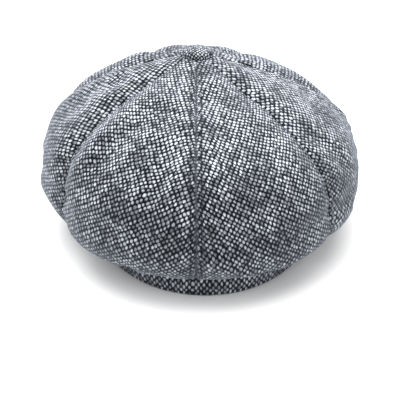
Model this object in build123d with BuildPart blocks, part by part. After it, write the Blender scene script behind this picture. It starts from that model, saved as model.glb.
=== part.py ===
from build123d import *
import os
from math import asin, cos, hypot, radians, sin, tan

# Newsboy cap, in millimetres. +Z is up, -Y is the front (the peak) and +X is the wearer's left.
# The cap stands at rest on Z = 0, on the back of its band and on the front edge of its peak.

# Head opening: the outer face of the band is an ellipse
HEAD_X = 84.0                 # half width
HEAD_Y = 100.0                # half length
BAND_WALL = 1.2
INTERLINING_WALL = 0.6
SWEATBAND_WALL = 1.0
SWEATBAND_HEIGHT = 30.0
SWEATBAND_LIFT = 0.8          # the sweatband ends this far above the band's lower edge
SWEATBAND_TOP = SWEATBAND_LIFT + SWEATBAND_HEIGHT
INTERLINING_LIFT = 0.4
BAND_INNER = BAND_WALL + INTERLINING_WALL
TAB_WALL = 0.4                # blank size tab on the back of the sweatband
TAB_WIDTH = 14.0
TAB_BOTTOM = 10.0
TAB_HEIGHT = 16.0

# Crown: eight gores that turn under to meet the band and rise over a wide pouf to a covered
# button, a little to the wearer's left. The first ring is the turned-under hem, whose flat
# underside lies on the band. Each ring is (height on the band's axis, forward tilt in degrees,
# back reach, front reach, half width, shift to the wearer's left).
CROWN_RINGS = [
    (12.5, 3.0, 109.0, -127.0, 105.0, 0.0),
    (20.0, 4.0, 112.0, -138.5, 114.0, 0.0),
    (33.0, 4.2, 114.0, -145.0, 119.0, 0.0),
    (48.0, 4.0, 113.0, -146.0, 120.0, 0.0),
    (62.0, 3.0, 110.0, -140.0, 118.5, 0.0),
    (75.0, 2.0, 103.0, -128.0, 113.0, 0.5),
    (87.0, 1.5, 90.0, -116.0, 99.0, 1.5),
    (97.0, 1.0, 70.0, -103.0, 82.0, 3.0),
    (105.5, 1.0, 44.0, -89.0, 64.0, 4.5),
    (112.2, 2.0, 12.0, -75.0, 44.0, 5.5),
    (118.1, 4.0, -22.0, -66.0, 22.0, 6.0),
    (121.0, 6.0, -37.0, -55.0, 9.0, 6.0),
]
CROWN_WALL = 1.6
HEM_INSET = 0.7               # inwards share of an inset at the hem's fold
LINING_GAP = 0.3
LINING_WALL = 0.6
LABEL_WALL = 0.4              # blank label under the top of the lining
LABEL_WIDTH = 56.0
LABEL_LENGTH = 36.0
LABEL_Y = 12.0
GORE_NAMES = [
    "left_rear_side", "left_back", "right_back", "right_rear_side",
    "right_front_side", "right_front", "left_front", "left_front_side",
]
# Seams between the gores, in degrees counter-clockwise from the wearer's left
SEAM_ANGLES = [0.0, 45.0, 90.0, 131.0, 180.0, 225.0, 270.0, 315.0, 360.0]
GORE_REACH = 400.0            # the wedge that cuts a gore is longer than the crown
GORE_HEIGHT = 250.0           # and taller

# Covered button, on an axis through the meeting point of the gores
BUTTON_X = 6.0
BUTTON_Y = -46.0
BUTTON_LIFT = 0.3             # underside of the button above the top of the crown
BUTTON_R = 12.5
BUTTON_EDGE = 2.5             # straight side below the dome
BUTTON_DOME = 4.0
COVER_WALL = 0.9
SHELL_WALL = 0.5
BACK_PLATE_T = 0.6
RIVET_R = 1.6
RIVET_HOLE_R = 2.0
RIVET_HEAD_R = 3.0
RIVET_HEAD_T = 0.5
RIVET_REACH = 12.0            # how far its hole is cut above and below the button
WASHER_R = 6.0
WASHER_T = 0.8
WASHER_GAP = 0.2              # below the lining

# Peak: a crescent, arched across and sloping forward
PEAK_TIP = 165.0              # front reach from the centre of the head opening
PEAK_CENTRE_Y = -75.0         # centre of the ellipse that draws its outer edge
PEAK_HALF_WIDTH = 82.0
PEAK_SLOPE = 10.2             # degrees
PEAK_ARCH_R = 290.0
PEAK_ROOT_Z = 2.2             # underside at the front of the band
PEAK_GAP = 0.8                # clear of the band, so that the peak can flex
UNDER_COVER_T = 0.8
BOARD_T = 2.0
UPPER_COVER_T = 1.0
PEAK_T = UNDER_COVER_T + BOARD_T + UPPER_COVER_T
BOARD_INSET = 1.5             # the board ends inside the covers' seam
PEAK_END_Y = -50.0            # the crescent's two ends are cut off square here

# Snap fastener that holds the front of the crown down on the peak
SNAP_Y = -118.0
SNAP_R = 5.0
STUD_BASE_T = 0.5
STUD_NECK_R = 1.7
STUD_HEAD_R = 2.0
STUD_H = 1.5                  # over the base
SOCKET_BORE_R = 2.6
SOCKET_LIFT = 0.8             # underside of the socket above the peak
SOCKET_H = 1.95
SOCKET_BORE_DEPTH = 1.6
SNAP_POST_R = 0.9
SNAP_POST_HOLE_R = 1.1
SNAP_CAP_R = 4.0
SNAP_CAP_T = 0.5
SNAP_CLEARANCE = 0.2
STUD_BACK_GAP = 0.05          # the arched cloth dips this far below the stud's back
SOCKET_CAP_W = 6.8            # underside of the cap inside the crown, above the peak
SNAP_REACH = 14.0             # how far the post's hole is cut up through the crown

# Rest: the band's back edge and the peak's front edge touch the floor
REST_TILT = 2.72
REST_Y = 24.5                 # puts the middle of the whole length at Y = 0
CAP = Plane(
    origin=(0, REST_Y, HEAD_Y * sin(radians(REST_TILT))),
    x_dir=(1, 0, 0),
    z_dir=(0, sin(radians(REST_TILT)), cos(radians(REST_TILT))),
)
HEM_HEIGHT, HEM_TILT = CROWN_RINGS[0][:2]
HEM = CAP.offset(HEM_HEIGHT).rotated((HEM_TILT, 0, 0))
TOP_HEIGHT, TOP_TILT = CROWN_RINGS[-1][:2]
BUTTON = CAP.offset(TOP_HEIGHT).rotated((TOP_TILT, 0, 0)).moved(
    Location((BUTTON_X, BUTTON_Y, BUTTON_LIFT))
)
SLOPE_RATIO = tan(radians(PEAK_SLOPE))
PEAK_SECTION = CAP.moved(Location((0, 0, PEAK_ROOT_Z + SLOPE_RATIO * HEAD_Y), (90 + PEAK_SLOPE, 0, 0)))
SNAP_Z = PEAK_ROOT_Z + SLOPE_RATIO * (SNAP_Y + HEAD_Y) + PEAK_T / cos(radians(PEAK_SLOPE))
SNAP = CAP.moved(Location((0, SNAP_Y, SNAP_Z), (PEAK_SLOPE, 0, 0)))

os.makedirs("parts", exist_ok=True)


def write(part, label):
    """Label a finished piece and write it under its own name."""
    part.label = label
    export_step(part, f"parts/{label}.step")


def ring_wall(outer_inset, wall, bottom, top):
    """An upright elliptical ring, measured inwards from the band's outer face."""
    with BuildPart() as ring:
        with BuildSketch(CAP.offset(bottom)):
            Ellipse(HEAD_X - outer_inset, HEAD_Y - outer_inset)
            Ellipse(HEAD_X - outer_inset - wall, HEAD_Y - outer_inset - wall, mode=Mode.SUBTRACT)
        extrude(amount=top - bottom)
    return ring.part


def under_hem(part):
    """The piece of a ring that lies below the crown's hem."""
    with BuildPart() as lower:
        add(part)
        split(bisect_by=HEM, keep=Keep.BOTTOM)
    return lower.part


def inset_ring(index, inset):
    """One crown ring moved inwards, square to the crown's side profile at that ring."""
    height, tilt, back, front, half_width, side = CROWN_RINGS[index]
    if index == 0:
        inwards, down = HEM_INSET * inset, -inset
    elif index == len(CROWN_RINGS) - 1:
        inwards, down = 0.0, inset
    else:
        below, above = CROWN_RINGS[index - 1], CROWN_RINGS[index + 1]
        rise, spread = above[0] - below[0], above[4] - below[4]
        inwards = inset * rise / hypot(rise, spread)
        down = -inset * spread / hypot(rise, spread)
    return height - down, tilt, back - inwards, front + inwards, half_width - inwards, side


def crown_body(inset):
    """The crown's outline moved inwards, as one solid lofted through its rings."""
    with BuildPart() as body:
        for index in range(len(CROWN_RINGS)):
            height, tilt, back, front, half_width, side = inset_ring(index, inset)
            with BuildSketch(CAP.offset(height).rotated((tilt, 0, 0))):
                with Locations((side, (back + front) / 2)):
                    Ellipse(half_width, (back - front) / 2)
        loft()
    return body.part


def gore_wedge(index):
    """A tall wedge from the button's axis that bounds one gore."""
    corners = [(BUTTON_X, BUTTON_Y)]
    for angle in SEAM_ANGLES[index:index + 2]:
        corners.append((
            BUTTON_X + GORE_REACH * cos(radians(angle)),
            BUTTON_Y + GORE_REACH * sin(radians(angle)),
        ))
    with BuildPart() as wedge:
        with BuildSketch(CAP.offset(-GORE_HEIGHT / 5)):
            with BuildLine():
                Polyline(*corners, close=True)
            make_face()
        extrude(amount=GORE_HEIGHT)
    return wedge.part


def upright(plane):
    """The plane through another plane's normal, for profiles given as (radius, height)."""
    return Plane(plane.origin, x_dir=plane.x_dir, z_dir=-plane.y_dir)


def turned(plane, points):
    """A solid of revolution about a plane's normal, from (radius, height) points."""
    with BuildPart() as piece:
        with BuildSketch(upright(plane)):
            with BuildLine():
                Polyline(*points, close=True)
            make_face()
        revolve(axis=Axis(plane.origin, plane.z_dir))
    return piece.part


def pin_hole(plane, radius, bottom, top):
    """A cylinder about a plane's normal, to cut a hole through cloth."""
    with BuildPart() as pin:
        with BuildSketch(plane.offset(bottom)):
            Circle(radius)
        extrude(amount=top - bottom)
    return pin.part


def dome(plane, radius, edge, rise):
    """A button-like dome on a plane: a straight edge under a spherical cap."""
    sphere_r = (radius**2 + rise**2) / (2 * rise)
    half_angle = asin(radius / sphere_r) / 2
    middle = (sphere_r * sin(half_angle), edge + rise - sphere_r * (1 - cos(half_angle)))
    with BuildPart() as body:
        with BuildSketch(upright(plane)):
            with BuildLine():
                Polyline((0, edge + rise), (0, 0), (radius, 0), (radius, edge))
                ThreePointArc((radius, edge), middle, (0, edge + rise))
            make_face()
        revolve(axis=Axis(plane.origin, plane.z_dir))
    return body.part


def peak_layer(bottom, top, inset):
    """One layer of the peak: an arched sheet between two heights, cut to a crescent."""
    with BuildPart() as layer:
        with BuildSketch(PEAK_SECTION):
            with Locations((0, -PEAK_ARCH_R)):
                Circle(PEAK_ARCH_R + top)
                Circle(PEAK_ARCH_R + bottom, mode=Mode.SUBTRACT)
        extrude(amount=1.2 * PEAK_TIP)
        with BuildSketch(CAP.offset(-PEAK_TIP / 2)):
            with Locations((0, PEAK_CENTRE_Y)):
                Ellipse(PEAK_HALF_WIDTH - inset, PEAK_TIP + PEAK_CENTRE_Y - inset)
            gap = PEAK_GAP + inset
            Ellipse(HEAD_X + gap, HEAD_Y + gap, mode=Mode.SUBTRACT)
            with Locations((0, PEAK_END_Y)):
                Rectangle(4 * HEAD_X, 4 * HEAD_Y, align=(Align.CENTER, Align.MAX), mode=Mode.INTERSECT)
        extrude(amount=PEAK_TIP, mode=Mode.INTERSECT)
    return layer.part


# ---- Crown and lining gores, each cut from an even shell

crown_shell = crown_body(0) - crown_body(CROWN_WALL)
lining_outer = CROWN_WALL + LINING_GAP
lining_inner = lining_outer + LINING_WALL
lining_shell = crown_body(lining_outer) - crown_body(lining_inner)
rivet_hole = pin_hole(BUTTON, RIVET_HOLE_R, -RIVET_REACH, RIVET_REACH)
snap_hole = pin_hole(SNAP, SNAP_POST_HOLE_R, 0, SNAP_REACH)
with BuildPart() as sweatband_block:
    with BuildSketch(CAP):
        Ellipse(HEAD_X - BAND_INNER, HEAD_Y - BAND_INNER)
    extrude(amount=SWEATBAND_TOP)
sweatband_space = sweatband_block.part

for index, gore in enumerate(GORE_NAMES):
    with BuildPart() as crown_panel:
        add(crown_shell)
        add(gore_wedge(index), mode=Mode.INTERSECT)
        for tool in (rivet_hole, snap_hole, sweatband_space):
            add(tool, mode=Mode.SUBTRACT)
    write(crown_panel.part, f"crown_panel_{gore}")

    with BuildPart() as lining_panel:
        add(lining_shell)
        add(gore_wedge(index), mode=Mode.INTERSECT)
        for tool in (rivet_hole, snap_hole, sweatband_space):
            add(tool, mode=Mode.SUBTRACT)
    write(lining_panel.part, f"lining_panel_{gore}")

with BuildPart() as blank_label:
    add(crown_body(lining_inner))
    add(crown_body(lining_inner + LABEL_WALL), mode=Mode.SUBTRACT)
    with BuildSketch(CAP.offset(TOP_HEIGHT / 2)):
        with Locations((0, LABEL_Y)):
            RectangleRounded(LABEL_WIDTH, LABEL_LENGTH, 2)
    extrude(amount=TOP_HEIGHT, mode=Mode.INTERSECT)
write(blank_label.part, "blank_label")

# ---- Band, its stiffener, the sweatband and its size tab

write(under_hem(ring_wall(0, BAND_WALL, 0, SWEATBAND_TOP)), "outer_band")
interlining = ring_wall(BAND_WALL, INTERLINING_WALL, INTERLINING_LIFT, SWEATBAND_TOP)
write(under_hem(interlining), "band_interlining")
write(ring_wall(BAND_INNER, SWEATBAND_WALL, SWEATBAND_LIFT, SWEATBAND_TOP), "sweatband")

with BuildPart() as size_tab:
    add(ring_wall(BAND_INNER + SWEATBAND_WALL, TAB_WALL, TAB_BOTTOM, TAB_BOTTOM + TAB_HEIGHT))
    with BuildSketch(CAP):
        with Locations((0, HEAD_Y)):
            Rectangle(TAB_WIDTH, HEAD_Y)
    extrude(amount=SWEATBAND_TOP, mode=Mode.INTERSECT)
write(size_tab.part, "size_tab")

# ---- Covered button: cloth over a metal dome, riveted to a washer inside the crown

cover_inner_r = BUTTON_R - COVER_WALL
cover_inner_rise = BUTTON_DOME - COVER_WALL
shell_inner_r = cover_inner_r - SHELL_WALL
cover_inner = dome(BUTTON, cover_inner_r, BUTTON_EDGE, cover_inner_rise)
shell_inner = dome(BUTTON, shell_inner_r, BUTTON_EDGE, cover_inner_rise - SHELL_WALL)
write(dome(BUTTON, BUTTON_R, BUTTON_EDGE, BUTTON_DOME) - cover_inner, "button_cover")
write(cover_inner - shell_inner, "button_shell")

with BuildPart() as button_back_plate:
    with BuildSketch(BUTTON):
        Circle(shell_inner_r)
        Circle(RIVET_R, mode=Mode.SUBTRACT)
    extrude(amount=BACK_PLATE_T)
write(button_back_plate.part, "button_back_plate")

washer_top = -(BUTTON_LIFT + lining_inner + WASHER_GAP)
with BuildPart() as button_washer:
    with BuildSketch(BUTTON.offset(washer_top - WASHER_T)):
        Circle(WASHER_R)
        Circle(RIVET_R, mode=Mode.SUBTRACT)
    extrude(amount=WASHER_T)
write(button_washer.part, "button_washer")

rivet_end = washer_top - WASHER_T - RIVET_HEAD_T
rivet_profile = [
    (0, rivet_end),
    (RIVET_HEAD_R, rivet_end),
    (RIVET_HEAD_R, rivet_end + RIVET_HEAD_T),
    (RIVET_R, rivet_end + RIVET_HEAD_T),
    (RIVET_R, BACK_PLATE_T),
    (RIVET_HEAD_R, BACK_PLATE_T),
    (RIVET_HEAD_R, BACK_PLATE_T + RIVET_HEAD_T),
    (0, BACK_PLATE_T + RIVET_HEAD_T),
]
write(turned(BUTTON, rivet_profile), "button_rivet")

# ---- Peak: a stiff board between two cloth covers

write(peak_layer(0, UNDER_COVER_T, 0), "peak_under_cover")

stud_back_top = -UPPER_COVER_T - STUD_BACK_GAP
with BuildPart() as peak_board:
    add(peak_layer(UNDER_COVER_T, UNDER_COVER_T + BOARD_T, BOARD_INSET))
    with BuildSketch(SNAP):
        Circle(SNAP_CAP_R + SNAP_CLEARANCE)
    extrude(amount=stud_back_top - SNAP_CAP_T - SNAP_CLEARANCE, mode=Mode.SUBTRACT)
write(peak_board.part, "peak_board")

with BuildPart() as peak_upper_cover:
    add(peak_layer(UNDER_COVER_T + BOARD_T, PEAK_T, 0))
    with BuildSketch(SNAP.offset(-PEAK_T)):
        Circle(SNAP_POST_HOLE_R)
    extrude(amount=2 * PEAK_T, mode=Mode.SUBTRACT)
write(peak_upper_cover.part, "peak_upper_cover")

# ---- Snap fastener: the stud rides on the peak and the socket on the crown

stud_profile = [
    (0, stud_back_top),
    (SNAP_POST_R, stud_back_top),
    (SNAP_POST_R, 0),
    (SNAP_R, 0),
    (SNAP_R, STUD_BASE_T),
    (STUD_NECK_R, STUD_BASE_T),
    (STUD_NECK_R, STUD_BASE_T + STUD_H / 3),
    (STUD_HEAD_R, STUD_BASE_T + STUD_H / 2),
    (STUD_NECK_R, STUD_BASE_T + STUD_H),
    (0, STUD_BASE_T + STUD_H),
]
write(turned(SNAP, stud_profile), "snap_stud")

with BuildPart() as snap_stud_back:
    with BuildSketch(SNAP.offset(stud_back_top)):
        Circle(SNAP_CAP_R)
    extrude(amount=-SNAP_CAP_T)
write(snap_stud_back.part, "snap_stud_back")

socket_top = SOCKET_LIFT + SOCKET_H
socket_profile = [
    (0, SOCKET_LIFT + SOCKET_BORE_DEPTH),
    (SOCKET_BORE_R, SOCKET_LIFT + SOCKET_BORE_DEPTH),
    (SOCKET_BORE_R, SOCKET_LIFT),
    (SNAP_R, SOCKET_LIFT),
    (SNAP_R, socket_top),
    (SNAP_POST_R, socket_top),
    (SNAP_POST_R, SOCKET_CAP_W),
    (0, SOCKET_CAP_W),
]
write(turned(SNAP, socket_profile), "snap_socket")

with BuildPart() as snap_socket_cap:
    with BuildSketch(SNAP.offset(SOCKET_CAP_W)):
        Circle(SNAP_CAP_R)
    extrude(amount=SNAP_CAP_T)
write(snap_socket_cap.part, "snap_socket_cap")
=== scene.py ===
import math

import bmesh
import bpy
import numpy as np
from mathutils import Matrix


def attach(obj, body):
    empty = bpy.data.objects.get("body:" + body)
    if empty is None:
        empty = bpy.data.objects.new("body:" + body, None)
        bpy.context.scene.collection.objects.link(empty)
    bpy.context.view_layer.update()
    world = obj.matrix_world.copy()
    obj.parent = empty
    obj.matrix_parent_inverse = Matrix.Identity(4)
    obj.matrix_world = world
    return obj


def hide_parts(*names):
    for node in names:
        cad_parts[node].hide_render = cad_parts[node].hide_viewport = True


# A newsboy cap of speckled tweed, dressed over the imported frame. Shapes are worked out in the
# cap's own axes in millimetres: x to the wearer's left, y to the back, z up from the plane of
# the band's lower edge, with the middle of the head opening as the origin.

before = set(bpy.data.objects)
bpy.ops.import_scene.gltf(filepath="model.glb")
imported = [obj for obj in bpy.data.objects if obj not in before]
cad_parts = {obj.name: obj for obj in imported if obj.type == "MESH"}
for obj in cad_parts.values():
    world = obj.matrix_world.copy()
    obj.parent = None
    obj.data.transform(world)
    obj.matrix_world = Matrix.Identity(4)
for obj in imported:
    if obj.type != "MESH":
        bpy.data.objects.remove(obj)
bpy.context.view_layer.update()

MM = 0.001
REST_TILT = math.radians(2.72)         # the cap stands on the back of its band and its peak
REST_Y = 24.5                          # brings the whole cap to the middle of the row frame

# ---- Sizes, as in the CAD model, in millimetres

HEAD_X, HEAD_Y = 84.0, 100.0          # half axes of the band's outer face
BAND_WALL = 1.2
SWEATBAND_INSET = 1.8
SWEATBAND_WALL = 1.0
SWEATBAND_LIFT = 0.8
SWEATBAND_TOP = 30.8
HEM_HEIGHT, HEM_TILT = 12.5, math.radians(3)

# Rings of the crown, from the joint with the band up to the button: height on the band's axis,
# forward tilt in degrees, back reach, front reach, half width and shift to the wearer's left.
CROWN_RINGS = np.array([
    (12.9, 3.0, 99.6, -99.6, 83.6, 0),
    (12.0, 3.0, 102.5, -114.0, 91.5, 0.5),
    (13.6, 3.1, 106.0, -127.0, 99.5, 1.0),
    (21.0, 4.0, 111.0, -138.5, 111.0, 2.0),
    (33.0, 4.2, 114.0, -145.0, 117.5, 2.5),
    (48.0, 4.0, 113.0, -146.0, 118.5, 1.5),
    (62.0, 3.0, 110.0, -140.0, 118.5, 1.5),
    (75.0, 2.0, 103.0, -128.0, 114.5, 2.0),
    (87.0, 1.5, 90.5, -117.0, 102.5, 2.5),
    (97.2, 1.0, 71.0, -104.5, 85.5, 3.5),
    (106.0, 1.0, 45.0, -90.0, 66.5, 5.0),
    (112.2, 2.0, 12.0, -75.0, 44.0, 5.5),
    (118.1, 4.0, -22.0, -66.0, 22.0, 6.0),
    (121.0, 6.0, -37.0, -55.0, 9.0, 6.0),
    (121.2, 6.0, -43.5, -48.5, 2.5, 6.0),
])
BUTTON_X = 6.0
BUTTON_Y = -46.0
GORES = [
    "left_rear_side", "left_back", "right_back", "right_rear_side",
    "right_front_side", "right_front", "left_front", "left_front_side",
]
SEAMS = np.radians([0, 45, 90, 131, 180, 225, 270, 315, 360])
# The weave leans this far from each gore's own axis, in degrees
GRAIN = dict(zip(GORES, (32, 32, -33, 32, -32, 32, -32, 32)))
LEFT_HIGHER = 0.030                    # rise of the crown for each millimetre to the left
HEM_DROOP, HEM_LIFT = 3.0, 1.0         # the hem sinks at the left rear and rises at the right
CROWN_WALL = 1.5
LINING_WALL = 0.5
LINING_INSET = 3.4
WEAVE = 2.85                           # from one speck of the tweed to the next

BUTTON_R = 12.5
BUTTON_TILT = math.radians(6.0)
BUTTON_BASE = 121.0

PEAK_TIP, PEAK_CENTRE_Y, PEAK_HALF_WIDTH = 165.0, -75.0, 82.0
PEAK_SLOPE = math.radians(10.2)
PEAK_ARCH_R = 290.0
PEAK_ROOT_Z, PEAK_THICK = 2.2, 3.8
PEAK_END_Y = -50.0
PEAK_GAP = 0.8


# ---- Small tools

def to_row(points):
    """Points in the cap's axes, in millimetres, to the row frame in metres."""
    x, y, z = np.moveaxis(np.asarray(points, float), -1, 0)
    c, s = math.cos(REST_TILT), math.sin(REST_TILT)
    return np.stack([x, REST_Y + y * c + z * s, HEAD_Y * s - y * s + z * c], -1) * MM


def from_row(points):
    """Points in the row frame, in metres, to the cap's axes in millimetres."""
    x, y, z = np.moveaxis(np.asarray(points, float) / MM, -1, 0)
    c, s = math.cos(REST_TILT), math.sin(REST_TILT)
    y, z = y - REST_Y, z - HEAD_Y * s
    return np.stack([x, y * c - z * s, y * s + z * c], -1)


def smooth_step(low, high, value):
    t = np.clip((value - low) / (high - low), 0, 1)
    return t * t * (3 - 2 * t)


def bell(distance, width):
    return np.exp(-((distance / width) ** 2))


def through(knots, values, at):
    """A smooth curve through values at knots, read at the given places."""
    slopes = np.gradient(values, knots, axis=0)
    k = np.clip(np.searchsorted(knots, at, side="right") - 1, 0, len(knots) - 2)
    span = knots[k + 1] - knots[k]
    t = ((at - knots[k]) / span)[..., None]
    span = span[..., None]
    return (
        (2 * t**3 - 3 * t**2 + 1) * values[k]
        + (t**3 - 2 * t**2 + t) * span * slopes[k]
        + (3 * t**2 - 2 * t**3) * values[k + 1]
        + (t**3 - t**2) * span * slopes[k + 1]
    )


RING_STEPS = np.hypot(np.diff(CROWN_RINGS[:, 0]), np.diff(CROWN_RINGS[:, 4]))
RING_KNOTS = np.concatenate([[0], np.cumsum(RING_STEPS)])
RING_KNOTS = 1 - RING_KNOTS / RING_KNOTS[-1]       # 0 at the button, 1 at the band


def crown_point(angle, along):
    """The crown's smooth outline at an angle about the button and a share of the way down."""
    angle, along = np.broadcast_arrays(np.asarray(angle, float), np.asarray(along, float))
    height, tilt, back, front, half, side = np.moveaxis(
        through(RING_KNOTS[::-1], CROWN_RINGS[::-1], along), -1, 0
    )
    tilt = np.radians(tilt)
    centre, reach = (back + front) / 2, (back - front) / 2
    cos_a, sin_a = np.cos(angle), np.sin(angle) / np.cos(tilt)
    from_side, from_centre = BUTTON_X - side, BUTTON_Y / np.cos(tilt) - centre
    qa = (cos_a / half) ** 2 + (sin_a / reach) ** 2
    qb = 2 * (from_side * cos_a / half**2 + from_centre * sin_a / reach**2)
    qc = (from_side / half) ** 2 + (from_centre / reach) ** 2 - 1
    ray = (-qb + np.sqrt(np.maximum(qb**2 - 4 * qa * qc, 0))) / (2 * qa)
    in_plane = BUTTON_Y / np.cos(tilt) + ray * sin_a
    return np.stack(
        [BUTTON_X + ray * cos_a, in_plane * np.cos(tilt), height + in_plane * np.sin(tilt)], -1
    )


def dressed(angle, along):
    """The smooth crown as it sits: a little higher on the wearer's left, and drooping there."""
    x, y, z = np.moveaxis(crown_point(angle, along), -1, 0)
    z = z + LEFT_HIGHER * smooth_step(12, 45, z) * x
    turn = np.degrees(angle) % 360
    low = (1 - smooth_step(14, 40, z)) * smooth_step(88, 104, np.hypot(x, y))
    z = z - low * (HEM_DROOP * bell(turn - 52, 24) - HEM_LIFT * bell(turn - 128, 26))
    return np.stack([x, y, z], -1)


def outward(angle, along):
    """Unit normals of the smooth crown."""
    e = 1e-3
    down = dressed(angle, along + e) - dressed(angle, along - e)
    across = dressed(angle + e, along) - dressed(angle - e, along)
    normal = np.cross(down, across)
    return normal / np.maximum(np.linalg.norm(normal, axis=-1, keepdims=True), 1e-12)


def add_mesh(name, rows, uv=None, groove_shade=0, wrap=False, low=0.8):
    """A mesh from a grid of points in the cap's axes, with its cloth coordinates, how much painted
    shade darkens its grooves, and how low it lies on the cap, for painted light high up and painted shade
    low down."""
    count, width = rows.shape[:2]
    points = to_row(rows).reshape(-1, 3)
    columns = width if wrap else width - 1
    i, j = np.meshgrid(np.arange(count - 1), np.arange(columns), indexing="ij")
    k = (j + 1) % width
    faces = np.stack([i * width + j, (i + 1) * width + j, (i + 1) * width + k, i * width + k], -1)
    mesh = bpy.data.meshes.new(name)
    mesh.from_pydata(points.tolist(), [], faces.reshape(-1, 4).tolist())
    mesh.polygons.foreach_set("use_smooth", np.ones(len(mesh.polygons), bool))
    if uv is not None:
        layer = mesh.uv_layers.new(name="cloth")
        corner = np.empty(len(mesh.loops), np.int32)
        mesh.loops.foreach_get("vertex_index", corner)
        flat = np.ascontiguousarray(uv, float).reshape(-1, 2)
        values = flat[corner]
        if wrap:
            values = wrapped_uv(values, corner, width, uv)
        layer.data.foreach_set("uv", values.ravel())
    for key, values in (("groove_shade", groove_shade), ("low", low)):
        field = mesh.attributes.new(key, "FLOAT", "POINT")
        values = np.broadcast_to(np.asarray(values, np.float32), rows.shape[:2])
        field.data.foreach_set("value", values.ravel())
    mesh.update()
    piece = bpy.data.objects.new(name, mesh)
    bpy.context.collection.objects.link(piece)
    return piece


def wrapped_uv(values, corner, width, uv):
    """On a ring, the last column of faces reads the first column's cloth one turn further on."""
    turn = uv[:, -1] - uv[:, -2] + uv[:, -1] - uv[:, 0]
    columns = corner.reshape(-1, 4) % width
    closing = columns.max(1) - columns.min(1) > 1
    shifted = values.reshape(-1, 4, 2).copy()
    for face in np.nonzero(closing)[0]:
        for c in range(4):
            if columns[face, c] == 0:
                shifted[face, c] += turn[corner.reshape(-1, 4)[face, c] // width]
    return shifted.reshape(-1, 2)


def thicken(piece, wall):
    """Gives a sheet its cloth's thickness, inwards."""
    solid = piece.modifiers.new("wall", "SOLIDIFY")
    solid.thickness = wall * MM
    solid.offset = -1
    solid.use_even_offset = False


def rotated(uv, degrees):
    a = math.radians(degrees)
    return np.stack(
        [uv[..., 0] * math.cos(a) - uv[..., 1] * math.sin(a),
         uv[..., 0] * math.sin(a) + uv[..., 1] * math.cos(a)], -1
    )


def assign(piece, material):
    piece.data.materials.clear()
    piece.data.materials.append(material)


def clothe(piece, wall, material, node, body):
    """Thickens and colours a cloth, and puts it in the place of a CAD node on its body."""
    thicken(piece, wall)
    assign(piece, material)
    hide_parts(node)
    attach(piece, body)


# ---- Materials

HALF = (0.5, 0.5, 0.5)


class Shader:
    """A procedural material, with short ways to add its nodes."""

    def __init__(self, name, roughness=0.9, specular=0.2, sheen=0.0, metallic=0.0):
        self.material = bpy.data.materials.new(name)
        self.material.use_nodes = True
        self.nodes = self.material.node_tree.nodes
        self.links = self.material.node_tree.links
        self.surface = self.nodes["Principled BSDF"]
        self.surface.inputs["Roughness"].default_value = roughness
        self.surface.inputs["Specular IOR Level"].default_value = specular
        self.surface.inputs["Sheen Weight"].default_value = sheen
        self.surface.inputs["Sheen Roughness"].default_value = 0.45
        self.surface.inputs["Metallic"].default_value = metallic

    def add(self, kind, **settings):
        node = self.nodes.new(kind)
        for key, value in settings.items():
            setattr(node, key, value)
        return node

    def put(self, socket, value):
        if isinstance(value, bpy.types.NodeSocket):
            self.links.new(value, socket)
        else:
            socket.default_value = value

    def cloth(self):
        return self.add("ShaderNodeUVMap", uv_map="cloth").outputs["UV"]

    def solid(self):
        return self.add("ShaderNodeTexCoord").outputs["Object"]

    def math(self, operation, a, b=0.0, clamp=False):
        node = self.add("ShaderNodeMath", operation=operation, use_clamp=clamp)
        self.put(node.inputs[0], a)
        self.put(node.inputs[1], b)
        return node.outputs[0]

    def vector(self, operation, a, b=(0, 0, 0)):
        node = self.add("ShaderNodeVectorMath", operation=operation)
        self.put(node.inputs[0], a)
        self.put(node.inputs["Scale"] if operation == "SCALE" else node.inputs[1], b)
        return node.outputs[0]

    def noise(self, vector, scale, detail=2.0, rough=0.5, colour=False):
        node = self.add("ShaderNodeTexNoise")
        self.put(node.inputs["Vector"], vector)
        node.inputs["Scale"].default_value = scale
        node.inputs["Detail"].default_value = detail
        node.inputs["Roughness"].default_value = rough
        return node.outputs["Color" if colour else "Fac"]

    def step(self, value, low, high, to_low=0.0, to_high=1.0):
        node = self.add("ShaderNodeMapRange", interpolation_type="SMOOTHSTEP")
        self.put(node.inputs["Value"], value)
        for key, number in (("From Min", low), ("From Max", high), ("To Min", to_low), ("To Max", to_high)):
            node.inputs[key].default_value = number
        return node.outputs["Result"]

    def mix(self, share, a, b, blend="MIX"):
        node = self.add("ShaderNodeMix", data_type="RGBA", blend_type=blend)
        self.put(node.inputs["Factor"], share)
        colours = [s for s in node.inputs if s.type == "RGBA"]
        for socket, value in zip(colours, (a, b)):
            self.put(socket, (*value, 1) if isinstance(value, tuple) else value)
        return next(s for s in node.outputs if s.type == "RGBA")

    def bump(self, height, strength, distance):
        node = self.add("ShaderNodeBump")
        self.put(node.inputs["Height"], height)
        node.inputs["Strength"].default_value = strength
        node.inputs["Distance"].default_value = distance
        self.links.new(node.outputs["Normal"], self.surface.inputs["Normal"])

    def colour(self, socket):
        self.put(self.surface.inputs["Base Color"], socket)
        return self


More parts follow.
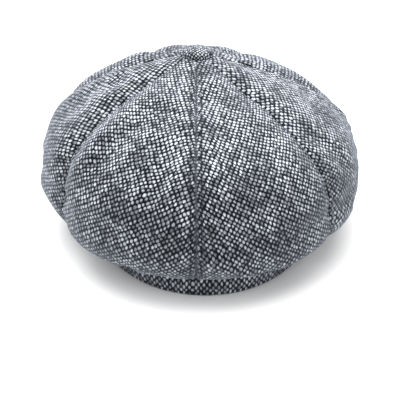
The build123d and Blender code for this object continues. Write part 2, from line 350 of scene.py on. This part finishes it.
def tweed_material():
    """Soft pale specks on a near-black ground, one to each crossing of the weave."""
    s = Shader("speckled_tweed", roughness=0.95, specular=0.05, sheen=0.38)
    s.surface.inputs["Sheen Tint"].default_value = (0.75, 0.82, 0.95, 1)
    uv = s.cloth()
    drift = s.vector("SUBTRACT", s.noise(uv, 0.55, 1.0, colour=True), HALF)
    drawn = s.vector("ADD", uv, s.vector("SCALE", drift, 0.5))
    chance = s.add("ShaderNodeSeparateColor")
    cell = s.add("ShaderNodeTexWhiteNoise", noise_dimensions="2D")
    s.put(cell.inputs["Vector"], s.vector("FLOOR", drawn))
    s.put(chance.inputs["Color"], cell.outputs["Color"])
    place = s.add("ShaderNodeSeparateXYZ")
    jitter = s.vector("SCALE", s.vector("SUBTRACT", cell.outputs["Color"], HALF), 0.22)
    in_cell = s.vector("SUBTRACT", s.vector("FRACTION", drawn), HALF)
    s.put(place.inputs[0], s.vector("ADD", in_cell, jitter))
    long_way = s.math("MULTIPLY", s.math("SUBTRACT", place.outputs["X"], place.outputs["Y"]), 0.60)
    short_way = s.math("MULTIPLY", s.math("ADD", place.outputs["X"], place.outputs["Y"]), 0.80)
    long_square, short_square = (s.math("MULTIPLY", way, way) for way in (long_way, short_way))
    away = s.math("SQRT", s.math("ADD", long_square, short_square))
    fibres = s.noise(uv, 5.5, 3.0, 0.65)
    distance = s.math("ADD", away, s.math("MULTIPLY", s.math("SUBTRACT", fibres, 0.5), 0.45))
    size = s.math("MULTIPLY", s.math("SUBTRACT", chance.outputs["Green"], 0.5), 0.14)
    speck = s.step(s.math("ADD", distance, size), 0.16, 0.46, 1.0, 0.0)
    blotch = s.step(s.noise(uv, 0.13, 3.0, 0.6), 0.36, 0.60, 0.50, 1.0)
    strength = s.math("MULTIPLY", s.step(chance.outputs["Red"], 0.0, 0.8, 0.35, 1.0), blotch)
    # Painted light and shade: specks half again as strong high on the cap and weaker towards the band, as
    # if lit from above
    low = s.add("ShaderNodeAttribute", attribute_name="low").outputs["Fac"]
    strength = s.math("MULTIPLY", strength, s.step(low, 0.0, 1.0, 1.50, 0.77))
    speck_share = s.math("MULTIPLY", speck, strength, clamp=True)
    ground = s.mix(fibres, (0.0004, 0.0006, 0.0012), (0.005, 0.006, 0.009))
    pale = s.mix(s.step(s.noise(uv, 2.6, 2.0), 0.3, 0.7), (0.42, 0.46, 0.53), (0.76, 0.79, 0.85))
    colour = s.mix(speck_share, ground, pale)
    # Painted shade: darkens the seams, the stitch rows and the button's underside towards near-black
    groove_shade = s.add("ShaderNodeAttribute", attribute_name="groove_shade").outputs["Fac"]
    colour = s.mix(s.math("MULTIPLY", groove_shade, 0.85, clamp=True), colour, (0.006, 0.007, 0.011))
    s.bump(s.math("ADD", s.math("MULTIPLY", speck, 0.7), s.math("MULTIPLY", fibres, 0.6)), 0.7, 0.0008)
    return s.colour(colour).material


def satin_material():
    """Smooth dark cloth with faint ribs."""
    s = Shader("lining_satin", roughness=0.38, specular=0.45, sheen=0.08)
    uv = s.cloth()
    split = s.add("ShaderNodeSeparateXYZ")
    s.put(split.inputs[0], uv)
    rib = s.math("SINE", s.math("MULTIPLY", split.outputs["X"], 14.0))
    worn = s.noise(uv, 0.25, 3.0)
    s.bump(s.math("ADD", rib, s.noise(uv, 6.0, 2.0)), 0.2, 0.0001)
    return s.colour(s.mix(worn, (0.012, 0.013, 0.018), (0.028, 0.030, 0.040))).material


def twill_material(name, dark, light, sheen=0.15):
    """Fine diagonal ribs."""
    s = Shader(name, roughness=0.85, specular=0.2, sheen=sheen)
    uv = s.cloth()
    split = s.add("ShaderNodeSeparateXYZ")
    s.put(split.inputs[0], uv)
    slope = s.math("ADD", split.outputs["X"], split.outputs["Y"])
    rib = s.math("SINE", s.math("MULTIPLY", slope, 9.0))
    threads = s.noise(uv, 7.0, 2.0)
    share = s.math("ADD", s.math("MULTIPLY", rib, 0.25), threads, clamp=True)
    s.bump(s.math("ADD", rib, threads), 0.35, 0.00015)
    return s.colour(s.mix(share, dark, light)).material


def solid_material(name, dark, light, roughness, metallic=0.0):
    """Metal or plastic with slight wear."""
    s = Shader(name, roughness=roughness, specular=0.5, metallic=metallic)
    worn = s.noise(s.solid(), 400.0, 4.0)
    rough = s.step(worn, 0.3, 0.7, roughness * 0.8, min(1.0, roughness * 1.25))
    s.put(s.surface.inputs["Roughness"], rough)
    s.bump(worn, 0.12, 0.0001)
    return s.colour(s.mix(worn, dark, light)).material


TWEED = tweed_material()
SATIN = satin_material()
TWILL = twill_material("sweatband_twill", (0.010, 0.011, 0.014), (0.040, 0.042, 0.050))
BUCKRAM = twill_material("buckram", (0.06, 0.06, 0.06), (0.12, 0.12, 0.11), sheen=0.05)
LABEL = twill_material("label_cloth", (0.055, 0.058, 0.070), (0.13, 0.135, 0.15))
STEEL = solid_material("blackened_steel", (0.10, 0.10, 0.11), (0.22, 0.22, 0.24), 0.35, metallic=1.0)
WASHER = solid_material("washer_plastic", (0.02, 0.02, 0.02), (0.05, 0.05, 0.05), 0.5)
BOARD = solid_material("board_plastic", (0.50, 0.49, 0.46), (0.66, 0.65, 0.61), 0.55)

for node, material in {
    "button_shell": STEEL, "button_back_plate": STEEL, "button_rivet": STEEL,
    "button_washer": WASHER, "snap_socket": STEEL, "snap_socket_cap": STEEL,
    "snap_stud": STEEL, "snap_stud_back": STEEL, "peak_board": BOARD,
}.items():
    assign(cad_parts[node], material)


# ---- The crown

SETTLE_TURNS, SETTLE_ROWS = 120, 48
SETTLE_FRAMES = 18
SEAM_HOLD = 0.45                       # how firmly a seam holds the cloth, where 1 is fixed
HELD_ABOVE, HELD_BELOW = 0.06, 0.97    # shares of the way down: fixed at the button and the hem
MOST_SAG, MOST_WRINKLE = 3.3, 1.2


def settled():
    """How far the crown's cloth moves off its smooth shape, in millimetres, on a grid of way
    down by angle: a slack ring of cloth, fixed at the button and the hem, held less firmly
    along the seams and pushed out from inside."""
    angle = np.arange(SETTLE_TURNS) / SETTLE_TURNS * math.tau
    along = np.linspace(0, 1, SETTLE_ROWS)
    angle, along = np.meshgrid(angle, along)
    start = dressed(angle, along)
    piece = add_mesh("settling_cloth", start, wrap=True)
    to_seam = np.abs(angle[..., None] - SEAMS).min(-1)
    fixed = np.maximum(along < HELD_ABOVE, along > HELD_BELOW)
    held = np.maximum(SEAM_HOLD * (to_seam < 0.01), fixed)
    group = piece.vertex_groups.new(name="sewn")
    for weight in (SEAM_HOLD, 1.0):
        group.add(np.nonzero(held.ravel() == weight)[0].tolist(), weight, "REPLACE")
    cloth = piece.modifiers.new("cloth", "CLOTH").settings
    cloth.quality = 6
    cloth.mass = 0.25
    cloth.tension_stiffness = cloth.compression_stiffness = 12
    cloth.shear_stiffness = 4
    cloth.bending_stiffness = 0.6
    cloth.shrink_min = -0.035
    cloth.vertex_group_mass = "sewn"
    cloth.use_pressure = True
    cloth.uniform_pressure_force = 1.2
    cloth.effector_weights.gravity = 0.25
    scene = bpy.context.scene
    for number in range(1, SETTLE_FRAMES + 1):
        scene.frame_set(number)
    shape = piece.evaluated_get(bpy.context.evaluated_depsgraph_get())
    moved = np.empty(len(shape.data.vertices) * 3, np.float32)
    shape.data.vertices.foreach_get("co", moved)
    moved = from_row(moved.reshape(start.shape))
    scene.frame_set(1)
    bpy.data.objects.remove(piece, do_unlink=True)
    off = np.sum((moved - start) * outward(angle, along), -1)
    sag = off.mean(1, keepdims=True)
    wrinkle = off - sag
    return MOST_SAG * np.tanh(sag / MOST_SAG) + MOST_WRINKLE * np.tanh(wrinkle / MOST_WRINKLE)


def read_grid(field, angle, along):
    """A field on the settling grid, read between its points."""
    a = (angle / math.tau % 1) * SETTLE_TURNS
    r = np.clip(along, 0, 1) * (SETTLE_ROWS - 1)
    a0, r0 = np.floor(a).astype(int), np.minimum(np.floor(r).astype(int), SETTLE_ROWS - 2)
    fa, fr = a - a0, r - r0
    fa, fr = fa * fa * (3 - 2 * fa), fr * fr * (3 - 2 * fr)
    a0, a1 = a0 % SETTLE_TURNS, (a0 + 1) % SETTLE_TURNS
    top = field[r0, a0] * (1 - fa) + field[r0, a1] * fa
    low = field[r0 + 1, a0] * (1 - fa) + field[r0 + 1, a1] * fa
    return top * (1 - fr) + low * fr


SLACK = settled()

random = np.random.default_rng(7)
WAVE_COUNT, WAVE_HEIGHT, WAVE_RADIUS = 9, 0.16, 75
# Heading, phase and length of each wave
WAVES = [
    (random.uniform(0, math.tau), random.uniform(0, math.tau), random.uniform(22, 60))
    for _ in range(WAVE_COUNT)
]

# Single creases: angle and way down at each end, width and depth in millimetres
CREASES = [
    (81, 0.42, 77, 0.72, 7.0, 2.8),
    (72, 0.86, 70, 0.97, 5.0, 2.4),
    (64, 0.34, 58, 0.56, 8.0, 2.0),
    (106, 0.80, 111, 0.96, 6.0, 1.3),
    (48, 0.55, 39, 0.72, 8.0, 1.3),
    (45.5, 0.20, 46, 0.74, 9.0, 1.6),
    (104, 0.46, 110, 0.66, 7.0, 1.6),
    (137, 0.42, 143, 0.62, 7.0, 1.8),
    (24, 0.62, 20, 0.86, 8.0, 1.0),
    (158, 0.60, 163, 0.85, 8.0, 0.8),
    (250, 0.60, 246, 0.90, 8.0, 1.8),
    (292, 0.58, 297, 0.88, 8.0, 1.8),
    (205, 0.58, 210, 0.84, 9.0, 1.5),
    (335, 0.60, 330, 0.84, 9.0, 1.5),
]
RIDGE_HEIGHT, RIDGE_AWAY = 0.35, 1.7   # beside a crease, in shares of its depth and width
GORE_BULGE = 2.3
SEAM_VALLEY, SEAM_VALLEY_WIDTH = 1.5, 8.0
SEAM_PINCH, SEAM_PINCH_WIDTH = 1.5, 1.3
SEAM_SWELL, SEAM_SWELL_WIDTH = 0.35, 0.9
STITCH_AWAY, STITCH_SINK, STITCH_WIDTH, STITCH_STEP = 3.7, 0.8, 0.75, 3.4


def crown_surface(angle, along, from_seam, share, down):
    """The crown as sewn: bulging gores, pinched seams, creases and slack. from_seam is the
    distance to the nearest seam, share the place between two seams and down the way from the
    button, in millimetres. Returns points and unit normals."""
    base, normal = dressed(angle, along), outward(angle, along)
    width = np.linalg.norm(base[..., :2] - (BUTTON_X, BUTTON_Y), axis=-1)
    near_hem = smooth_step(0.84, 0.93, along)
    full = smooth_step(0.02, 0.22, along) * (1 - 0.8 * near_hem)
    off = GORE_BULGE * full * (1 - (2 * share - 1) ** 2)
    off -= SEAM_VALLEY * full * bell(from_seam, SEAM_VALLEY_WIDTH)
    off += full * read_grid(SLACK, angle, along)
    for heading, phase, length in WAVES:
        run = angle * WAVE_RADIUS * math.cos(heading) + down * math.sin(heading)
        off += WAVE_HEIGHT * full * np.sin(math.tau * run / length + phase)
    turn = np.degrees(angle) % 360
    for a0, s0, a1, s1, spread, depth in CREASES:
        t = np.clip((along - s0) / (s1 - s0), 0, 1)
        beside = np.radians(turn - (a0 + (a1 - a0) * t)) * width
        fading_in = smooth_step(s0 - 0.06, s0 + 0.04, along)
        ends = fading_in * (1 - smooth_step(s1 - 0.04, s1 + 0.06, along))
        ridge = sum(bell(beside + sign * RIDGE_AWAY * spread, spread) for sign in (-1, 1))
        off += depth * ends * (RIDGE_HEIGHT * ridge - bell(beside, spread))
    return base + normal * off[..., None], normal


def stitching(from_seam, down, along, angle):
    """How deep the seam and its two rows of stitches sink, and how much painted shade darkens
    their grooves. The seam at the centre back shows most."""
    clear = 0.18 + 1.35 * bell(np.degrees(angle) - 90, 30)
    shown = smooth_step(0.05, 0.09, along) * (1 - smooth_step(0.92, 0.97, along))
    dash = 0.65 + 0.35 * np.cos(math.tau * down / STITCH_STEP)
    rows = bell(from_seam - STITCH_AWAY, STITCH_WIDTH)
    pinch = bell(from_seam, SEAM_PINCH_WIDTH)
    sink = SEAM_PINCH * pinch + STITCH_SINK * dash * rows
    swell = SEAM_SWELL * bell(from_seam - 0.5 * STITCH_AWAY, SEAM_SWELL_WIDTH)
    # Painted shade in the seam's pinch and in the two stitch grooves
    dark = clear * shown * np.maximum(0.5 * bell(from_seam, 0.6), dash * rows)
    return (0.3 + 0.7 * clear) * shown * (sink - swell), dark


EDGE_STEPS = np.array([0, 0.8, 1.6, 2.5, 3.2, 3.7, 4.3, 5.2, 7.0])
EDGE_NEEDS = 10.0                      # half a gore's width below which its edge steps shrink
ACROSS_STEPS = 33


def gore_grid(number, rows, middle):
    """Angles, ways down, cloth coordinates and seam distances of one gore's grid."""
    along = np.linspace(0, 1, rows)
    first, spread = SEAMS[number], SEAMS[number + 1] - SEAMS[number]
    across = np.linspace(0, 1, ACROSS_STEPS)
    wide = dressed(first + across[None] * spread, along[:, None])
    width = np.linalg.norm(np.diff(wide, axis=1), axis=-1).sum(1)
    axis = wide[:, ACROSS_STEPS // 2]
    down = np.concatenate([[0], np.cumsum(np.linalg.norm(np.diff(axis, axis=0), axis=-1))])
    half = width[:, None] / 2
    edge = EDGE_STEPS[None] * np.minimum(1, half / EDGE_NEEDS)
    inner = edge[:, -1:] + (half - edge[:, -1:]) * np.linspace(0, 1, middle + 1)[None, 1:]
    left = np.concatenate([edge, inner], 1)
    place = np.concatenate([left, 2 * half - left[:, -2::-1]], 1)
    share = place / width[:, None]
    angle = first + share * spread
    from_seam = np.minimum(place, width[:, None] - place)
    down = np.repeat(down[:, None], place.shape[1], 1)
    uv = np.stack([place - half, down], -1)
    along = np.repeat(along[:, None], place.shape[1], 1)
    return angle, along, uv, from_seam, share, down


CROWN_ROWS, CROWN_MIDDLE = 104, 11
LINING_ROWS, LINING_MIDDLE = 44, 5
NEXT_CLOTH = np.array((17.3, 5.9))     # so that no two gores show the same part of the weave
for number, name in enumerate(GORES):
    angle, along, uv, from_seam, share, down = gore_grid(number, CROWN_ROWS, CROWN_MIDDLE)
    points, normal = crown_surface(angle, along, from_seam, share, down)
    sink, dark = stitching(from_seam, down, along, angle)
    points = points - normal * sink[..., None]
    side = math.copysign(1, GRAIN[name])
    cloth = rotated(uv * (side, 1), abs(GRAIN[name])) / WEAVE + number * NEXT_CLOTH
    # Painted shade: the specks grow darker from near the button down to the hem
    low = smooth_step(0.15, 0.85, along)
    panel = add_mesh(f"tweed_{name}", points, cloth, dark, low=low)
    clothe(panel, CROWN_WALL, TWEED, f"crown_panel_{name}", "cap")

    angle, along, uv, from_seam, share, down = gore_grid(number, LINING_ROWS, LINING_MIDDLE)
    inside = 1 - 0.02 * smooth_step(0.9, 1, along)
    points, normal = crown_surface(angle, along * inside, from_seam, share, down)
    points = points - normal * (LINING_INSET - 0.9 * bell(from_seam, 2.0))[..., None]
    satin = add_mesh(f"satin_{name}", points, uv / WEAVE)
    clothe(satin, LINING_WALL, SATIN, f"lining_panel_{name}", "cap")


# ---- Band, interlining, sweatband and tab

RING_TURNS = 240


def ring_strip(profile):
    """A strip round the head opening. The profile gives inset from the band's outer face and
    height for each row, with the last number the share by which the height follows the hem."""
    angle = np.arange(RING_TURNS) / RING_TURNS * math.tau
    rows = []
    for inset, height, follows in profile:
        x, y = (HEAD_X - inset) * np.cos(angle), (HEAD_Y - inset) * np.sin(angle)
        rows.append(np.stack([x, y, height + follows * y * math.tan(HEM_TILT)], -1))
    rows = np.array(rows)
    run = np.concatenate([[0], np.cumsum(np.linalg.norm(np.diff(rows[0], axis=0), axis=-1))])
    tall = np.concatenate([[0], np.cumsum(np.linalg.norm(np.diff(rows[:, 0], axis=0), axis=-1))])
    uv = np.stack(np.meshgrid(run, tall), -1)
    return rows, uv


def add_strip(name, node, profile, wall, grain, material):
    rows, uv = ring_strip(profile)
    strip = add_mesh(name, rows[::-1], rotated(uv[::-1], grain) / WEAVE, wrap=True)
    clothe(strip, wall, material, node, "cap")


HEM_TOP = HEM_HEIGHT + 0.3
add_strip(
    "band_tweed", "outer_band",
    [(0.9, 0.45, 0), (0.45, 0.1, 0), (0.1, 0.5, 0.02), (-0.15, 1.6, 0.1), (0.25, 2.6, 0.18),
     (-0.25, 3.8, 0.28), (-0.5, 6.2, 0.5), (-0.45, 8.6, 0.7), (-0.2, 10.8, 0.88),
     (0.1, HEM_TOP, 1)],
    BAND_WALL - 0.1, 45, TWEED,
)
add_strip(
    "band_stiffener", "band_interlining",
    [(1.25, 1.8, 0), (1.2, 4, 0.3), (1.2, 8, 0.6), (1.25, HEM_HEIGHT, 1)],
    0.5, 0, BUCKRAM,
)
add_strip(
    "sweatband_twill", "sweatband",
    [(SWEATBAND_INSET + 0.2, SWEATBAND_LIFT, 0), (SWEATBAND_INSET, SWEATBAND_LIFT + 0.8, 0),
     (SWEATBAND_INSET, 6, 0), (SWEATBAND_INSET, 12, 0), (SWEATBAND_INSET + 0.2, 18, 0),
     (SWEATBAND_INSET + 0.3, 24, 0), (SWEATBAND_INSET + 0.1, 28, 0),
     (SWEATBAND_INSET + 0.5, 29.4, 0), (SWEATBAND_INSET + 0.2, SWEATBAND_TOP, 0)],
    SWEATBAND_WALL - 0.2, 0, TWILL,
)

TAB_WIDTH, TAB_BOTTOM, TAB_HEIGHT, TAB_WALL = 14.0, 10.0, 16.0, 0.4
TAB_CLEAR, TAB_LIFT = 0.35, 0.5        # off the sweatband, and more at its loose lower end
LABEL_WEAVE = 2.0
x, z = np.meshgrid(
    np.linspace(TAB_WIDTH / 2, -TAB_WIDTH / 2, 15), TAB_BOTTOM + np.linspace(TAB_HEIGHT, 0, 17)
)
inner_x, inner_y = (half - SWEATBAND_INSET - SWEATBAND_WALL for half in (HEAD_X, HEAD_Y))
y = inner_y * np.sqrt(1 - (x / inner_x) ** 2)
lift = TAB_LIFT * smooth_step(TAB_BOTTOM + 0.75 * TAB_HEIGHT, TAB_BOTTOM, z)
tab_points = np.stack([x, y - TAB_CLEAR - lift, z], -1)
tab = add_mesh("size_tab_cloth", tab_points, np.stack([x, z], -1) / LABEL_WEAVE)
clothe(tab, TAB_WALL, LABEL, "size_tab", "cap")


# ---- Label under the top of the lining

LABEL_WIDTH, LABEL_LENGTH, LABEL_Y = 56.0, 36.0, 12.0
LABEL_CLEAR = 1.3                      # off the middle of the lining
x, y = np.meshgrid(
    np.linspace(LABEL_WIDTH / 2, -LABEL_WIDTH / 2, 29),
    LABEL_Y + np.linspace(-LABEL_LENGTH / 2, LABEL_LENGTH / 2, 19),
)
angle, away = np.arctan2(y - BUTTON_Y, x - BUTTON_X), np.hypot(x - BUTTON_X, y - BUTTON_Y)
ladder = np.linspace(0.02, 0.75, 260)  # shares of the way down, to find the one at a distance
rungs = dressed(angle[..., None], ladder)
rungs_away = np.hypot(rungs[..., 0] - BUTTON_X, rungs[..., 1] - BUTTON_Y).reshape(-1, len(ladder))
along = np.array([np.interp(a, steps, ladder) for a, steps in zip(away.ravel(), rungs_away)])
along = along.reshape(x.shape)
seam_gap = np.abs(angle[..., None] - SEAMS).min(-1) * away
share = np.where(angle < SEAMS[2], angle - SEAMS[1], angle - SEAMS[2]) / (SEAMS[3] - SEAMS[2])
surface, normal = crown_surface(angle, along, seam_gap, share, away)
label_points = surface - normal * (LINING_INSET + LABEL_CLEAR)
label = add_mesh("label_cloth_blank", label_points, np.stack([x, y], -1) / LABEL_WEAVE)
clothe(label, TAB_WALL, LABEL, "blank_label", "cap")


# ---- Button

BUTTON_EDGE, BUTTON_DOME, BUTTON_LIFT = 2.5, 4.0, 0.3
BUTTON_TURNS, BUTTON_PLEATS = 96, 16
BUTTON_WEAVE = 0.8 * WEAVE             # the cloth is drawn tight over the button
SIDE_ROWS = 6
dome = np.linspace(0.02, 1, 15)
# The cover's rows, over the dome, down its side and under: share of the radius, and height
drop = np.concatenate([dome, np.full(SIDE_ROWS, 1.0), (0.97, 0.86)])
height = np.concatenate([
    BUTTON_EDGE + BUTTON_DOME * np.sqrt(1 - (0.985 * dome) ** 2),
    np.linspace(BUTTON_EDGE + 0.35, 0.25, SIDE_ROWS), (-0.05, -0.1),
])
turn = np.arange(BUTTON_TURNS) / BUTTON_TURNS * math.tau
radius = BUTTON_R * drop[:, None] * np.ones_like(turn)
gather = smooth_step(0.55, 1.0, drop)[:, None] * (1 + 0.5 * smooth_step(3.0, 0.3, height))[:, None]
radius = radius + 0.28 * gather * np.cos(BUTTON_PLEATS * turn + 0.8 * np.sin(3 * turn)) - 0.1
bx, by = radius * np.cos(turn), radius * np.sin(turn)
bz = height[:, None] + 0.12 * np.sin(2 * turn) * gather + BUTTON_LIFT
c, s = math.cos(BUTTON_TILT), math.sin(BUTTON_TILT)
button_at = np.array((BUTTON_X, BUTTON_Y * c, BUTTON_BASE + BUTTON_Y * s))
button_points = button_at + np.stack([bx, by * c - bz * s, by * s + bz * c], -1)
unrolled = np.concatenate([[0.02], np.cumsum(np.hypot(np.diff(drop * BUTTON_R), np.diff(height)))])
button_uv = np.stack([unrolled[:, None] * np.cos(turn), unrolled[:, None] * np.sin(turn)], -1)
# Painted shadow darkens the cover's side and underside, and low=0.1 paints its specks as lit like the top
# of the cap
cover = add_mesh(
    "button_tweed", button_points, rotated(button_uv, 40) / BUTTON_WEAVE,
    0.9 * smooth_step(0.8, -0.1, height)[:, None] * np.ones_like(turn), low=0.1,
)


def close_top(piece):
    """Fills the small hole that a ring-shaped grid leaves at its middle."""
    mesh = bmesh.new()
    mesh.from_mesh(piece.data)
    mesh.verts.ensure_lookup_table()
    start = mesh.verts[0]
    first = [e for e in start.link_edges if e.is_boundary]
    ring, to_visit = set(first), list(first)
    while to_visit:
        edge = to_visit.pop()
        for v in edge.verts:
            for other in v.link_edges:
                if other.is_boundary and other not in ring:
                    ring.add(other)
                    to_visit.append(other)
    made = bmesh.ops.holes_fill(mesh, edges=list(ring), sides=0)
    layer = mesh.loops.layers.uv["cloth"]
    for face in made["faces"]:
        face.smooth = True
        for loop in face.loops:
            near = next(other for other in loop.vert.link_loops if other.face is not face)
            loop[layer].uv = near[layer].uv
    mesh.to_mesh(piece.data)
    mesh.free()


close_top(cover)
clothe(cover, 0.8, TWEED, "button_cover", "cap")


# ---- Peak

PEAK_TURNS, PEAK_ROWS = 121, 26
PEAK_STITCH_IN, PEAK_STITCH_WIDTH, PEAK_STITCH_SINK = 5.0, 0.8, 0.35
PEAK_RIPPLE = 0.12
PEAK_GRAIN = 20
EDGE_ROUND = 2.2                       # how far the upper cloth comes down round the edge
UNDER_CLEAR = 0.1                      # the visible face of the under cloth, over the CAD's
v = np.linspace(-1, 1, PEAK_TURNS)
INNER_X, INNER_Y = HEAD_X + PEAK_GAP, HEAD_Y + PEAK_GAP
OUTER_Y = PEAK_TIP + PEAK_CENTRE_Y
inner_end = math.pi / 2 + math.asin(PEAK_END_Y / INNER_Y)
outer_end = math.pi / 2 + math.asin((PEAK_END_Y - PEAK_CENTRE_Y) / OUTER_Y)
peak_inner = np.stack([INNER_X * np.sin(v * inner_end), -INNER_Y * np.cos(v * inner_end)], -1)
peak_outer = np.stack(
    [PEAK_HALF_WIDTH * np.sin(v * outer_end), PEAK_CENTRE_Y - OUTER_Y * np.cos(v * outer_end)], -1
)


def peak_surface(u, above):
    """Points of the peak at a share of the way out from the band and a height over its underside."""
    plan = peak_inner * (1 - u)[:, None, None] + peak_outer * u[:, None, None]
    x, y = plan[..., 0], plan[..., 1]
    arch = np.sqrt((PEAK_ARCH_R + above[:, None]) ** 2 - x**2) - PEAK_ARCH_R
    z = PEAK_ROOT_Z + math.tan(PEAK_SLOPE) * (HEAD_Y + y) + arch / math.cos(PEAK_SLOPE)
    return np.stack([x, y, z], -1)


def peak_cloth(name, node, u, above, wall):
    """One face of the peak, with a row of stitches near its edge that sinks into the board, with painted
    shade in it.
    """
    points = peak_surface(u, above)
    from_edge = np.linalg.norm(points - peak_surface(np.ones_like(u), above), axis=-1)
    steps = np.linalg.norm(np.diff(points[len(u) // 2], axis=0), axis=-1)
    run = np.concatenate([[0], np.cumsum(steps)])
    dash = 0.6 + 0.4 * np.cos(math.tau * run / STITCH_STEP)[None]
    row = bell(from_edge - PEAK_STITCH_IN, PEAK_STITCH_WIDTH) * dash
    points[..., 2] -= math.copysign(PEAK_STITCH_SINK, above[0] - PEAK_THICK / 2) * row
    points[..., 2] += PEAK_RIPPLE * np.sin(points[..., 0] / 9 + points[..., 1] / 7)
    outwards = peak_outer - (0, PEAK_CENTRE_Y)
    outwards /= np.linalg.norm(outwards, axis=-1, keepdims=True)
    cloth = points[..., :2] + outwards * (above[0] - above)[:, None, None]
    weave = rotated(cloth[:, ::-1], PEAK_GRAIN) / WEAVE
    # Painted shade darkens the sunken row of stitches
    piece = add_mesh(name, points[:, ::-1], weave, 0.7 * row[:, ::-1])
    clothe(piece, wall, TWEED, node, "peak")


EDGE_TURN = np.linspace(0, math.pi / 2, 7)[1:]
peak_cloth(
    "peak_top_tweed", "peak_upper_cover",
    np.concatenate([np.linspace(0, 0.975, PEAK_ROWS), 0.985 + 0.015 * np.sin(EDGE_TURN)]),
    np.concatenate([np.full(PEAK_ROWS, PEAK_THICK), PEAK_THICK - EDGE_ROUND * (1 - np.cos(EDGE_TURN))]),
    0.8,
)
peak_cloth(
    "peak_under_tweed", "peak_under_cover",
    np.linspace(0.0, 0.995, PEAK_ROWS), np.full(PEAK_ROWS, UNDER_CLEAR), 0.65,
)


# ---- Floor, light and camera

def stage_material():
    s = Shader("pale_floor", roughness=0.9, specular=0.1)
    return s.colour(s.mix(s.noise(s.solid(), 3.0), (0.95, 0.95, 0.95), (0.97, 0.97, 0.97))).material


FLOOR_HALF = 6.0
floor_corners = [(FLOOR_HALF * x, FLOOR_HALF * y, 0) for x, y in ((-1, -1), (1, -1), (1, 1), (-1, 1))]
floor_mesh = bpy.data.meshes.new("floor")
floor_mesh.from_pydata(floor_corners, [], [(0, 1, 2, 3)])
floor = bpy.data.objects.new("floor", floor_mesh)
bpy.context.collection.objects.link(floor)
assign(floor, stage_material())


def aim(item, place, target):
    """Puts a camera or light at a place, looking at a target."""
    back = np.array(place, float) - target
    back /= np.linalg.norm(back)
    right = np.cross((0, 0, 1), back)
    right /= np.linalg.norm(right)
    up = np.cross(back, right)
    turn = Matrix((right, up, back)).transposed().to_4x4()
    item.matrix_world = Matrix.Translation(place) @ turn


LIT_POINT = (0, 0, 0.06)


def soft_light(name, place, size, power):
    data = bpy.data.lights.new(name, "AREA")
    data.shape, data.size, data.energy = "DISK", size, power
    light = bpy.data.objects.new(name, data)
    bpy.context.collection.objects.link(light)
    aim(light, place, LIT_POINT)


soft_light("key", (1.1, 0.3, 1.6), 2.0, 16)
soft_light("fill", (-1.3, 0.5, 1.3), 2.0, 8)
soft_light("top", (0.1, -0.7, 1.9), 3.0, 70)
soft_light("front", (0.2, -1.6, 0.9), 1.6, 10)

world = bpy.data.worlds.new("studio")
world.use_nodes = True
background = world.node_tree.nodes["Background"]
background.inputs["Color"].default_value = (1, 1, 1, 1)
background.inputs["Strength"].default_value = 0.78
bpy.context.scene.world = world
bpy.context.scene.view_settings.view_transform = "Standard"

CAMERA_HEIGHT = math.radians(31.0)     # over the floor, from straight behind the cap
CAMERA_AWAY, CAMERA_RAISED, CAMERA_ASIDE = 0.785, 0.0120, -0.0034
camera_data = bpy.data.cameras.new("camera")
camera_data.lens, camera_data.sensor_width = 89.9, 36
camera_data.clip_start, camera_data.clip_end = 0.01, 50
camera = bpy.data.objects.new("camera", camera_data)
bpy.context.collection.objects.link(camera)
look_back = np.array((0, math.cos(CAMERA_HEIGHT), math.sin(CAMERA_HEIGHT)))
look_right = np.cross((0, 0, 1), look_back)
look_right /= np.linalg.norm(look_right)
look_up = np.cross(look_back, look_right)
middle = np.array((0, REST_Y * MM, HEAD_Y * math.sin(REST_TILT) * MM))
middle = middle + look_up * CAMERA_RAISED + look_right * CAMERA_ASIDE
aim(camera, middle + look_back * CAMERA_AWAY, middle)
bpy.context.scene.camera = camera
